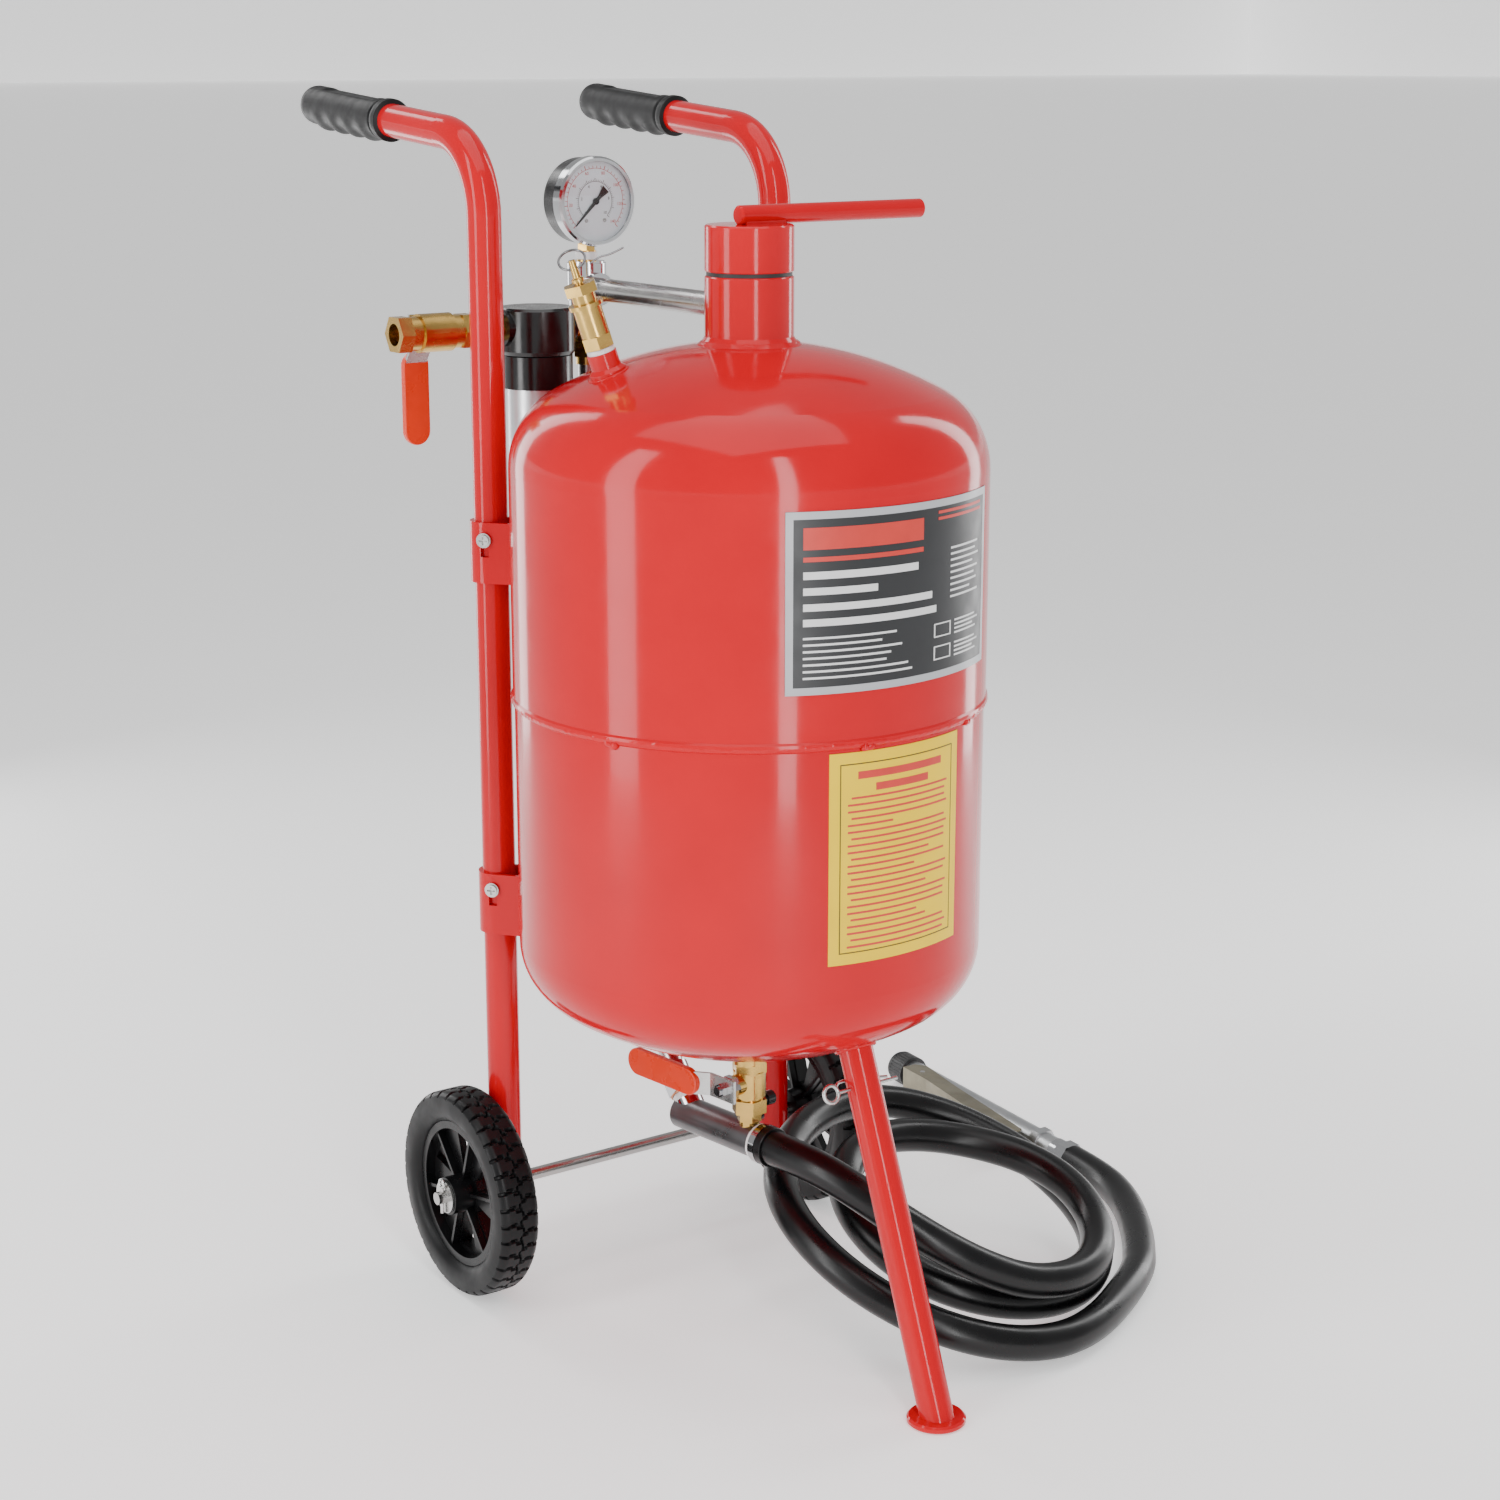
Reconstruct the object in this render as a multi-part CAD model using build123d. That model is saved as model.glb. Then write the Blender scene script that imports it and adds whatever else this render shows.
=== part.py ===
from build123d import *
import math
import os

# Portable abrasive blasting tank on two wheels: pressure vessel, filling neck, air inlet with
# filter and gauge, blasting valve, mixing tube and rubber hose with its blasting gun.
# Millimetres. X along the axle, -Y towards the front leg, +Z up, floor at z = 0.
# Everything is modelled about the tank's axis, then moved so that the origin is the middle of
# the base of the object without its hose.

# ---- tank
TANK_R, WALL = 175.0, 3.0
LOWER_R = 173.8
SEAM_Z = 494.0
TOP_KNUCKLE_Z, TOP_KNUCKLE_R, TOP_CROWN_R = 662.0, 62.0, 300.0
LOW_KNUCKLE_Z, LOW_KNUCKLE_R, LOW_CROWN_R = 306.0, 52.0, 295.0
# ---- filling neck and cap
NECK_R, NECK_BORE, NECK_TOP = 32.3, 28.5, 799.0
CAP_Z0, CAP_Z1, THREAD_PITCH = 802.0, 835.0, 2.31
BAR_R, BAR_X0, BAR_X1 = 7.0, -10.0, 155.0
# ---- frame
POST_X, POST_Y, POST_R, POST_WALL = 130.0, 152.0, 12.7, 2.0
POST_Z0, BEND_Z, BEND_R, HANDLE_Y, HANDLE_Z = 68.0, 892.0, 60.0, 418.0, 913.0
GRIP_LEN, GRIP_R = 136.0, 15.2
AXLE_Z, AXLE_R, AXLE_HALF = 82.0, 5.0, 193.0
WHEEL_R, WHEEL_W, WHEEL_X = 82.0, 34.0, 163.0
LEG_TOP, LEG_TILT = (0.0, -137.0, 248.0), 21.9
FOOT_R, FOOT_T = 21.5, 5.0
# ---- air side
PIPE_Y, PORT_Z, TEE_Z = 222.0, 748.0, 775.0
GAUGE_Z, GAUGE_R, GAUGE_FACE_Y = 842.0, 34.3, 203.5
FILTER_X, FILTER_R = -46.0, 30.0
AIR_R = 8.0
# ---- blasting side
YAW = 8.0
MIX_Z, MIX_R, MIX_REAR, MIX_FRONT = 139.0, 13.5, -78.0, 14.0
HOSE_R = 13.5
GUN_Z = 15.0
FIT = 0.05

parts = {}


def turned(points):
    """Solid turned about Z from a closed (radius, height) outline."""
    outline = Polyline(*[(r, 0, z) for r, z in points], close=True)
    return revolve(make_face(outline), Axis.Z)


def rod(a, b, radius):
    a, b = Vector(*a), Vector(*b)
    return Plane(origin=a, z_dir=b - a) * extrude(Circle(radius), (b - a).length)


def tube(a, b, outer, inner):
    return rod(a, b, outer) - rod(a, b, inner)


def hexagon(flats, length):
    return extrude(RegularPolygon(flats / 2, 6, major_radius=False), length)


def stack(pieces):
    """Fitting along Z: ("round" or "hex", size, start, end); size is radius or width over flats."""
    solid = None
    for kind, size, w0, w1 in pieces:
        shape = Circle(size) if kind == "round" else RegularPolygon(size / 2, 6, major_radius=False)
        piece = Pos(0, 0, w0) * extrude(shape, w1 - w0)
        solid = piece if solid is None else solid + piece
    return solid


def block(x, y, z):
    """Box from its (low, high) pairs."""
    return Pos(sum(x) / 2, sum(y) / 2, sum(z) / 2) * Box(x[1] - x[0], y[1] - y[0], z[1] - z[0])


def ribbon(points, thickness):
    """Closed outline of a bent strip from its middle line, in a plane."""
    left, right = [], []
    for i, (x, y) in enumerate(points):
        dirs = []
        for j, k in ((i - 1, i), (i, i + 1)):
            if j >= 0 and k < len(points):
                dx, dy = points[k][0] - points[j][0], points[k][1] - points[j][1]
                length = math.hypot(dx, dy)
                dirs.append((dx / length, dy / length))
        dx, dy = sum(d[0] for d in dirs), sum(d[1] for d in dirs)
        length = math.hypot(dx, dy)
        dx, dy = dx / length, dy / length
        grow = thickness / 2 / (dx * dirs[0][0] + dy * dirs[0][1])
        left.append((x - dy * grow, y + dx * grow))
        right.append((x + dy * grow, y - dx * grow))
    return left + right[::-1]


def vessel(radius, knuckle, crown, knuckle_z, sign, z_open):
    """Filled half vessel with a knuckle-and-crown end, up or down."""
    rise = math.sqrt((crown - knuckle) ** 2 - (radius - knuckle) ** 2)
    centre_z = knuckle_z - sign * rise
    lean = math.atan2(rise, radius - knuckle)
    half, top = lean / 2, (lean + math.pi / 2) / 2

    def at(cx, cz, r, angle):
        return (cx + r * math.cos(angle), 0, cz + sign * r * math.sin(angle))

    corner, tangent = (radius, 0, knuckle_z), at(0, centre_z, crown, lean)
    apex = (0, 0, centre_z + sign * crown)
    edges = [
        Line((0, 0, z_open), (radius, 0, z_open)),
        Line((radius, 0, z_open), corner),
        ThreePointArc(corner, at(radius - knuckle, knuckle_z, knuckle, half), tangent),
        ThreePointArc(tangent, at(0, centre_z, crown, top), apex),
        Line(apex, (0, 0, z_open)),
    ]
    return revolve(make_face(edges), Axis.Z), centre_z


def turned_strip(inner, outer, z0, z1, start, end):
    """Curved plate on the tank between two bearings in degrees."""
    outline = Polyline((inner, 0, z0), (outer, 0, z0), (outer, 0, z1), (inner, 0, z1), close=True)
    return Rot(0, 0, start) * revolve(make_face(outline), Axis.Z, revolution_arc=end - start)


# ------------------------------------------------------------------ pressure vessel
upper, crown_z = vessel(TANK_R, TOP_KNUCKLE_R, TOP_CROWN_R, TOP_KNUCKLE_Z, 1, SEAM_Z)
upper_in, _ = vessel(TANK_R - WALL, TOP_KNUCKLE_R - WALL, TOP_CROWN_R - WALL, TOP_KNUCKLE_Z, 1, SEAM_Z)
lower, low_crown_z = vessel(LOWER_R, LOW_KNUCKLE_R, LOW_CROWN_R, LOW_KNUCKLE_Z, -1, SEAM_Z)
lower_in, _ = vessel(LOWER_R - WALL, LOW_KNUCKLE_R - WALL, LOW_CROWN_R - WALL, LOW_KNUCKLE_Z, -1, SEAM_Z)
low_apex = low_crown_z - LOW_CROWN_R

RELIEF_R, RELIEF_BEARING, RELIEF_TILT = 106.5, 165.5, 18.0
relief_foot = (
    RELIEF_R * math.cos(math.radians(RELIEF_BEARING)),
    RELIEF_R * math.sin(math.radians(RELIEF_BEARING)),
    crown_z + math.sqrt(TOP_CROWN_R**2 - RELIEF_R**2),
)
relief_axis = (
    math.sin(math.radians(RELIEF_TILT)) * math.cos(math.radians(RELIEF_BEARING)),
    math.sin(math.radians(RELIEF_TILT)) * math.sin(math.radians(RELIEF_BEARING)),
    math.cos(math.radians(RELIEF_TILT)),
)
relief_frame = Plane(origin=relief_foot, z_dir=relief_axis)

boss = relief_frame * turned([(0, -6), (13.5, -6), (13.5, 2.5), (10.8, 5), (10.8, 16), (0, 16)])
boss_bore = relief_frame * (Pos(0, 0, -12) * extrude(Circle(4), 40))
# the lap weld bead stays with the upper shell, whose rim is a little wider than the lower one
seam_bead = turned([
    (LOWER_R, SEAM_Z - 5), (LOWER_R, SEAM_Z), (TANK_R - WALL, SEAM_Z), (TANK_R - WALL, SEAM_Z + 2.6),
    (TANK_R, SEAM_Z + 2.6), (TANK_R + 1.2, SEAM_Z + 1.2),
    (TANK_R + 1.5, SEAM_Z - 1), (TANK_R + 0.6, SEAM_Z - 3.6),
])
parts["tank_upper_shell"] = (
    (upper + boss) - upper_in - boss_bore - Pos(0, 0, 700) * extrude(Circle(NECK_BORE), 80)
) + seam_bead

OUTLET_BORE = 8.0
leg_dir = Vector(0, -math.sin(math.radians(LEG_TILT)), -math.cos(math.radians(LEG_TILT)))
leg_top = Vector(*LEG_TOP)
socket = rod(leg_top - leg_dir * 40, leg_top, POST_R)
spigot = rod(leg_top - leg_dir * 2, leg_top + leg_dir * 42, POST_R - POST_WALL)
outlet_boss = Pos(0, 0, low_apex - 13) * extrude(Circle(17), 30)
clip_at = leg_top + leg_dir * 22
clip_hole = rod(clip_at - Vector(30, 0, 0), clip_at + Vector(30, 0, 0), 1.4)
parts["tank_lower_shell"] = (
    (lower + socket + spigot + outlet_boss)
    - lower_in
    - clip_hole
    - Pos(0, 0, low_apex - 20) * extrude(Circle(OUTLET_BORE), 60)
)



def crown_height(radius):
    return crown_z + math.sqrt(TOP_CROWN_R**2 - radius**2)


weld_r = NECK_R + 6
neck_foot = [(r, 0, crown_height(r)) for r in (NECK_BORE, (NECK_BORE + weld_r) / 2, weld_r)]
neck_side = Polyline(
    neck_foot[2], (NECK_R + 2, 0, neck_foot[2][2] + 3),
    (NECK_R, 0, neck_foot[2][2] + 6), (NECK_R, 0, NECK_TOP - 1),
    (NECK_R - 1, 0, NECK_TOP), (NECK_BORE, 0, NECK_TOP), neck_foot[0],
)
parts["fill_neck"] = revolve(make_face([ThreePointArc(*neck_foot)] + list(neck_side.edges())), Axis.Z)

# cap: gasket rides up the thread pitch, the cap turns in it
parts["fill_gasket"] = turned([
    (NECK_BORE, NECK_TOP), (NECK_R - 1.4, NECK_TOP), (NECK_R - 1.4, CAP_Z0), (NECK_BORE, CAP_Z0),
])
crest, root, z = NECK_BORE - FIT, NECK_BORE - 1.2, CAP_Z0 - 2.2
thread = []
for turn in range(5):
    thread += [(root, z), (crest, z - 0.8), (crest, z - 1.3), (root, z - THREAD_PITCH + 0.1)]
    z -= THREAD_PITCH
thread_end = z - 1.0
parts["fill_cap"] = turned(
    [(0, CAP_Z1), (NECK_R - 1.2, CAP_Z1), (NECK_R, CAP_Z1 - 1.2), (NECK_R, CAP_Z0 + 0.6),
     (NECK_R - 0.6, CAP_Z0), (crest, CAP_Z0), (crest, CAP_Z0 - 0.9), (root, CAP_Z0 - 1.6)]
    + thread
    + [(root, thread_end), (24, thread_end), (24, CAP_Z1 - 6), (0, CAP_Z1 - 6)]
)
bar_z = CAP_Z1 + BAR_R - 0.5
bar = rod((BAR_X0, 0, bar_z), (BAR_X1, 0, bar_z), BAR_R)
bar = chamfer(bar.edges(), 1.2)
web = block((BAR_X0 + 4, NECK_R - 4), (-5.5, 5.5), (CAP_Z1 - 1, CAP_Z1 + 5))
parts["fill_cap"] += bar + web

# ------------------------------------------------------------------ relief valve
body = stack([
    ("round", 9.0, 16, 22), ("hex", 20.5, 20, 29), ("round", 10.2, 28, 50), ("round", 12.4, 50, 53),
    ("round", 8.6, 53, 60), ("hex", 22.0, 60, 67),
])
parts["relief_body"] = relief_frame * (body - Pos(0, 0, 20) * extrude(Circle(3.05), 60))
stem = turned([(0, 20.5), (3.0, 20.5), (3.0, 68), (4.6, 68.2), (4.6, 70.5), (3.0, 71.5), (2.4, 84), (0, 84)])
parts["relief_stem"] = relief_frame * stem
ring = Pos(9.6 * math.cos(0.6), 0, 77.5 + 9.6 * math.sin(0.6)) * Rot(0, -34.4, 0) * Torus(9.6, 0.9)
parts["relief_ring"] = relief_frame * (Rot(0, 0, 60) * ring)

# ------------------------------------------------------------------ frame: posts, grips, brackets
bolt_data, saddles = [], []
for side, name in ((-1, "left"), (1, "right")):
    x = side * POST_X
    handle_dir = Vector(0, HANDLE_Y - POST_Y, HANDLE_Z - BEND_Z).normalized()
    path = FilletPolyline((x, POST_Y, POST_Z0), (x, POST_Y, BEND_Z), (x, HANDLE_Y, HANDLE_Z), radius=BEND_R)
    foot = Plane(origin=(x, POST_Y, POST_Z0), z_dir=(0, 0, 1))
    outer = sweep(foot * Circle(POST_R), path=path)
    inner = sweep(foot * Circle(POST_R - POST_WALL), path=path)
    axle_hole = rod((x - 20, POST_Y, AXLE_Z), (x + 20, POST_Y, AXLE_Z), AXLE_R)
    post = outer - inner - axle_hole

    end = Vector(x, HANDLE_Y, HANDLE_Z)
    grip_frame = Plane(origin=end - handle_dir * (GRIP_LEN - 8), x_dir=(1, 0, 0), z_dir=handle_dir)
    grip = turned([
        (0, 0), (16.6, 0), (17.0, 1.5), (17.0, 6.5), (16.2, 8), (GRIP_R, 9), (GRIP_R, GRIP_LEN - 10),
        (GRIP_R - 1.2, GRIP_LEN - 5), (GRIP_R - 4, GRIP_LEN - 1.6), (8, GRIP_LEN), (0, GRIP_LEN),
    ])
    for w in (27, 51, 75, 99):
        grip += Pos(0, 5.6, w) * Sphere(12.2)
    parts[f"grip_{name}"] = grip_frame * grip - outer

    # saddles hold the post off the tank; a bolt crosses each one
    radial = Vector(x, POST_Y, 0).normalized()
    saddle_frame = Plane(origin=(x, POST_Y, 0), x_dir=radial, z_dir=(0, 0, 1))
    for level, z0, z1, bolt_z, wall in (
        ("upper", 568.0, 614.0, 601.0, upper), ("lower", 293.0, 341.0, 329.0, lower),
    ):
        outline = Circle(POST_R + 3.2) + Pos(-25, 0) * Rectangle(50, 2 * POST_R + 6.4)
        hollow = Circle(POST_R) + Pos(-25, 0) * Rectangle(50, 2 * POST_R)
        saddle = Pos(0, 0, z0) * extrude(outline - hollow, z1 - z0)
        slot = Pos(0, 0, bolt_z - 5) * Box(6.4, 60, 16)
        saddle = saddle_frame * (saddle - slot) - wall
        saddles.append(saddle)
        head = -side
        bolt = stack([("round", 3.0, -21, 15.9 + 0.1), ("round", 5.6, 16.0, 18.2), ("round", 4.4, 18.2, 19.6)])
        bolt += stack([("hex", 10.0, -20.5, -16.0)])
        bolt -= Pos(0, 0, 18.9) * (Box(6.4, 1.3, 2) + Box(1.3, 6.4, 2))
        turn = Plane(origin=(0, 0, bolt_z), x_dir=(0, 0, 1), z_dir=(0, head, 0))
        bolt_data.append(saddle_frame * (turn * bolt))
        post -= saddle_frame * (turn * (Pos(0, 0, -25) * extrude(Circle(3.0), 50)))
    parts[f"post_{name}"] = post
parts["post_brackets"] = Compound(children=[s.solid() for s in saddles])
parts["bracket_bolts"] = Compound(children=[b.solid() for b in bolt_data])

# ------------------------------------------------------------------ front leg, foot, clip
leg = tube(leg_top, leg_top + leg_dir * 300, POST_R, POST_R - POST_WALL)
leg -= block((-60, 60), (-400, 0), (-200, FOOT_T))
foot_at = leg_top + leg_dir * ((LEG_TOP[2] - FOOT_T) / math.cos(math.radians(LEG_TILT)))
foot_disc = Pos(foot_at.X, foot_at.Y, 0) * turned([
    (0, 0), (FOOT_R - 1, 0), (FOOT_R, 1), (FOOT_R, FOOT_T - 1.5), (FOOT_R - 1.5, FOOT_T), (0, FOOT_T),
])
parts["front_leg"] = leg - clip_hole + foot_disc
clip = rod(clip_at - Vector(24, 0, 0), clip_at + Vector(30, 0, 0), 1.4)
clip += Pos(clip_at.X - 29.5, clip_at.Y, clip_at.Z) * Rot(70, 0, 0) * Torus(6.2, 1.4)
parts["leg_clip"] = clip

# ------------------------------------------------------------------ axle and wheels
axle = rod((-AXLE_HALF, POST_Y, AXLE_Z), (AXLE_HALF, POST_Y, AXLE_Z), AXLE_R)
washers, pins = [], []
for side in (-1, 1):
    pin_x = side * (AXLE_HALF - 5)
    pin = rod((pin_x, POST_Y, AXLE_Z - 13), (pin_x, POST_Y, AXLE_Z + 9), 1.5)
    pin += Pos(pin_x, POST_Y, AXLE_Z + 11.5) * Rot(0, 90, 0) * Torus(3.2, 1.2)
    pins.append(pin)
    axle -= rod((pin_x, POST_Y, AXLE_Z - 13), (pin_x, POST_Y, AXLE_Z + 9), 1.5)
    w0 = side * (WHEEL_X + WHEEL_W / 2 + 4.3)
    washers.append(tube((w0, POST_Y, AXLE_Z), (w0 + side * 1.6, POST_Y, AXLE_Z), 13.0, AXLE_R))
parts["axle"] = axle
parts["axle_washers_and_pins"] = Compound(children=[p.solid() for p in washers + pins])

RIM_R, RIM_IN, BOSS_R = 58.0, 52.0, 15.0
half = WHEEL_W / 2
tyre_outline = [
    (RIM_R, -half + 6), (60.5, -half + 3), (64, -half + 0.6), (68, -half), (73, -half + 0.6), (79, -half + 3),
    (WHEEL_R, -half + 6), (WHEEL_R, half - 6),
    (79, half - 3), (73, half - 0.6), (68, half), (64, half - 0.6), (60.5, half - 3), (RIM_R, half - 6),
]
rim = tube((0, 0, -half + 6), (0, 0, half - 6), RIM_R, RIM_IN)
disc = Pos(0, 0, -3) * extrude(Circle(RIM_IN + 1), 6)
hub_boss = Pos(0, 0, -half - 0.8) * extrude(Circle(BOSS_R), WHEEL_W + 4.8)
hub = rim + disc + hub_boss
window = Polyline((19, -4), (48, -13), (48, 13), (19, 4), close=True)
for i in range(6):
    hub -= Rot(0, 0, 60 * i + 30) * (Pos(0, 0, -10) * extrude(make_face(window), 20))
    hub += Rot(0, 0, 60 * i + 11.5) * block((BOSS_R - 1, RIM_IN + 1), (-1.3, 1.3), (-9, 9))
hub -= Pos(0, 0, -40) * extrude(Circle(AXLE_R + FIT), 80)
for side, name in ((-1, "left"), (1, "right")):
    seat = Plane(origin=(side * WHEEL_X, POST_Y, AXLE_Z), x_dir=(0, 1, 0), z_dir=(side, 0, 0))
    parts[f"wheel_hub_{name}"] = seat * hub
    parts[f"tyre_{name}"] = seat * turned(tyre_outline)


# ------------------------------------------------------------------ ball valves
def ball_valve(segments, centre, ball_r, bore, port, reach, lever_len, step, grip_from):
    """Bore along Z, stem along +X, closed lever along +Y. Returns body, ball, lever, grip."""
    total = segments[-1][3]
    shell = stack(segments)
    bonnet = stack([("round", 8.2, 0, reach - 7), ("hex", 14.0, reach - 8, reach - 2)])
    shell += Pos(0, 0, centre) * Rot(0, 90, 0) * bonnet
    shell -= Pos(0, 0, centre) * Sphere(ball_r + FIT)
    shell -= Pos(0, 0, -1) * extrude(Circle(bore), total + 2)
    if port:
        shell -= Pos(0, 0, total - port[1]) * extrude(Circle(port[0]), port[1] + 1)
    shell -= Pos(0, 0, centre) * Rot(0, 90, 0) * extrude(Circle(3.5 + FIT), reach + 5)
    ball = Sphere(ball_r) + Rot(0, 90, 0) * extrude(Circle(3.5), reach + 9)
    ball += Rot(0, 90, 0) * (Pos(0, 0, reach + 2.7) * hexagon(9.5, 4.0))
    ball -= Rot(90, 0, 0) * (Pos(0, 0, -20) * extrude(Circle(bore), 40))
    x0 = reach + 1.35
    line = [(x0, -12), (x0, 15), (x0 + step, 27), (x0 + step, lever_len)]
    outline = Polyline(*ribbon(line, 2.4), close=True)
    lever = Pos(0, 0, -9) * extrude(make_face(outline), 18)
    tip = Rot(0, 90, 0) * extrude(Circle(9), 80) + block((-5, 90), (-60, 0), (-40, 40))
    lever = lever & (Pos(0, lever_len - 9, 0) * (tip + block((-5, 90), (-lever_len - 40, 0), (-40, 40))))
    lever -= Rot(0, 90, 0) * extrude(Circle(3.5), reach + 20)
    shape = SlotOverall(lever_len - grip_from + 5, 22.0)
    grip_len = lever_len - grip_from
    grip_at = (x0 + step - 2.7, grip_from + (grip_len + 5) / 2, 0)
    grip = Plane(origin=grip_at, x_dir=(0, 1, 0), z_dir=(1, 0, 0)) * extrude(shape, 5.4)
    grip = grip - block((-5, 90), (-60, grip_from), (-40, 40))
    grip = fillet(grip.edges().filter_by(lambda e: e.length > 20), 1.2) - lever
    return shell, Pos(0, 0, centre) * ball, Pos(0, 0, centre) * lever, Pos(0, 0, centre) * grip


inlet_frame = Plane(origin=(FILTER_X - 32, PIPE_Y, PORT_Z), x_dir=(0, 1, 0), z_dir=(-1, 0, 0))
shell, ball, lever, grip = ball_valve(
    [("round", 9.8, 0, 14), ("hex", 21, 14, 21), ("round", 9.8, 21, 27), ("hex", 25, 27, 37),
     ("round", 12.6, 37, 45), ("round", 14.6, 45, 72), ("round", 12.8, 72, 81), ("hex", 26, 81, 92)],
    58.0, 10.0, 6.5, (8.4, 16), 22.0, 84.0, 9.0, 15.0 + 2.0,
)
inlet = {"inlet_valve_body": shell, "inlet_ball": ball, "inlet_lever": lever, "inlet_grip": grip}
for key, shape in inlet.items():
    parts[key] = inlet_frame * shape

yaw = math.radians(YAW)
OUT_TOP = low_apex - 13
out_frame = Plane(origin=(0, 0, OUT_TOP), x_dir=(-math.cos(yaw), -math.sin(yaw), 0), z_dir=(0, 0, -1))
OUT_BALL = OUT_TOP - 186.0
OUT_LEN = OUT_TOP - MIX_Z
shell, ball, lever, grip = ball_valve(
    [
        ("round", 13.0, 0, 7), ("hex", 24, 6, 14), ("round", 12.8, 13, OUT_BALL + 11),
        ("round", 10.6, OUT_BALL + 10, 37), ("hex", 24, 36, 47), ("hex", 17, 46, 54), ("round", 8.0, 53, OUT_LEN),
    ],
    OUT_BALL, 8.6, 6.0, None, 25.0, 96.0, 8.0, 21.0,
)
mix_dir = Vector(math.sin(yaw), -math.cos(yaw), 0)
mix_centre = Vector(0, 0, MIX_Z)
mix_full = rod(mix_centre + mix_dir * MIX_REAR, mix_centre + mix_dir * MIX_FRONT, MIX_R)
parts["outlet_valve_body"] = out_frame * shell - mix_full
for key, shape in (("outlet_ball", ball), ("outlet_lever", lever), ("outlet_grip", grip)):
    parts[key] = out_frame * shape
# cross screw with a black knob, in the lower hexagon, on the side away from the lever
knob_z = OUT_TOP - 41.5
knob_frame = Plane(origin=(0, 0, knob_z), x_dir=(0, 0, 1), z_dir=(math.cos(yaw), math.sin(yaw), 0))
knob_screw = knob_frame * (Pos(0, 0, 7.5) * extrude(Circle(2.0), 9))
parts["outlet_valve_body"] -= knob_frame * (Pos(0, 0, 7.5) * extrude(Circle(2.0 + FIT), 12))
parts["drain_knob"] = knob_screw + knob_frame * stack([("round", 4.6, 14.2, 16), ("round", 5.6, 16, 23.5)])

# ------------------------------------------------------------------ mixing tube, ferrule, air line
mix_bore = rod(mix_centre + mix_dir * (MIX_REAR + 8), mix_centre + mix_dir * 30, 9.5)
drop_bore = rod((0, 0, MIX_Z), (0, 0, MIX_Z + 20), 6.0)
mixing = mix_full - mix_bore - drop_bore
parts["mixing_tube"] = mixing
ferrule_end = mix_centre + mix_dir * (MIX_FRONT + 6)
parts["hose_ferrule"] = tube(mix_centre + mix_dir * MIX_FRONT, ferrule_end, 15.6, 9.5)

air_from = mix_centre + mix_dir * -62
corner_z = MIX_Z + math.hypot(air_from.X, PIPE_Y - air_from.Y) * math.tan(math.radians(44))
air_path = FilletPolyline(tuple(air_from), (0, PIPE_Y, corner_z), (0, PIPE_Y, 716.0), radius=60)
air_dir = (Vector(0, PIPE_Y, corner_z) - air_from).normalized()
air_line = sweep(Plane(origin=air_from, z_dir=air_dir) * Circle(AIR_R), path=air_path)
air_bore = sweep(Plane(origin=air_from, z_dir=air_dir) * Circle(AIR_R - 2), path=air_path)
parts["air_line"] = air_line - mix_full - air_bore
parts["mixing_tube"] -= rod(air_from, air_from + air_dir * 30, AIR_R - 2)
union = stack([("round", 10.8, 8, 22), ("hex", 24, 22, 34), ("round", 10.4, 34, 46)])
union = Plane(origin=air_from, z_dir=air_dir) * union
parts["air_union"] = union - mix_full - air_line

# ------------------------------------------------------------------ manifold, gauge, pipe to the neck
column = Pos(0, PIPE_Y, 0)
tee = column * stack([("round", 15.4, 766, 794.5), ("round", 14.2, 762, 796)])
tee += rod((0, PIPE_Y, TEE_Z), (0, PIPE_Y - 20, TEE_Z), 12.6)
parts["manifold_tee"] = tee
cross = column * stack([
    ("hex", 23, 756, 762), ("round", 11.6, 734, 757), ("hex", 21, 722, 735), ("round", 9.4, 716, 723),
])
cross += rod((0, PIPE_Y, PORT_Z), (-16, PIPE_Y, PORT_Z), 11.0)
parts["manifold_cross"] = cross
neck_solid = turned([(0, 700), (NECK_R, 700), (NECK_R, NECK_TOP), (0, NECK_TOP)])
parts["neck_pipe"] = rod((0, PIPE_Y - 20, TEE_Z), (0, 20, TEE_Z), 9.0) - neck_solid

case_r = GAUGE_R - 1.5
gauge_frame = Plane(origin=(0, GAUGE_FACE_Y, GAUGE_Z), x_dir=(1, 0, 0), z_dir=(0, 1, 0))
parts["gauge_case"] = gauge_frame * turned([
    (0, 5.5), (case_r, 5.5), (case_r, 27), (case_r - 2.5, 30), (0, 30),
])
parts["gauge_bezel"] = gauge_frame * turned([
    (30.4, 0), (32.8, 0), (GAUGE_R, 1.8), (GAUGE_R, 10.5), (case_r, 10.5), (case_r, 5.5), (31.6, 5.5),
    (31.6, 1.2), (30.4, 1.2),
])
parts["gauge_glass"] = gauge_frame * turned([(0, 1.2), (31.6, 1.2), (31.6, 2.4), (0, 2.4)])
dial = turned([(0, 4.7), (31.6, 4.7), (31.6, 5.5), (0, 5.5)])
parts["gauge_dial"] = gauge_frame * (dial - Pos(0, 0, 4) * extrude(Circle(0.8 + FIT), 4))
needle_outline = Polyline((-0.5, 26), (0.5, 26), (1.6, -5), (3.4, -13), (-3.4, -13), (-1.6, -5), close=True)
# pointer at rest shows zero: down and to the left on the face
needle = Pos(0, 0, 3.2) * extrude(make_face(needle_outline), 0.5) + Pos(0, 0, 2.8) * extrude(Circle(2.6), 1.4)
needle += Pos(0, 0, 3) * extrude(Circle(0.8), 2.4)
parts["gauge_needle"] = gauge_frame * (Rot(0, 0, 45) * needle)
gauge_solid = gauge_frame * (Pos(0, 0, 5.5) * extrude(Circle(case_r), 24.5))
stem_solid = column * stack([("round", 7.6, 796, 804), ("hex", 13.0, 803, 812)])
parts["gauge_stem"] = stem_solid - gauge_solid

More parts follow.
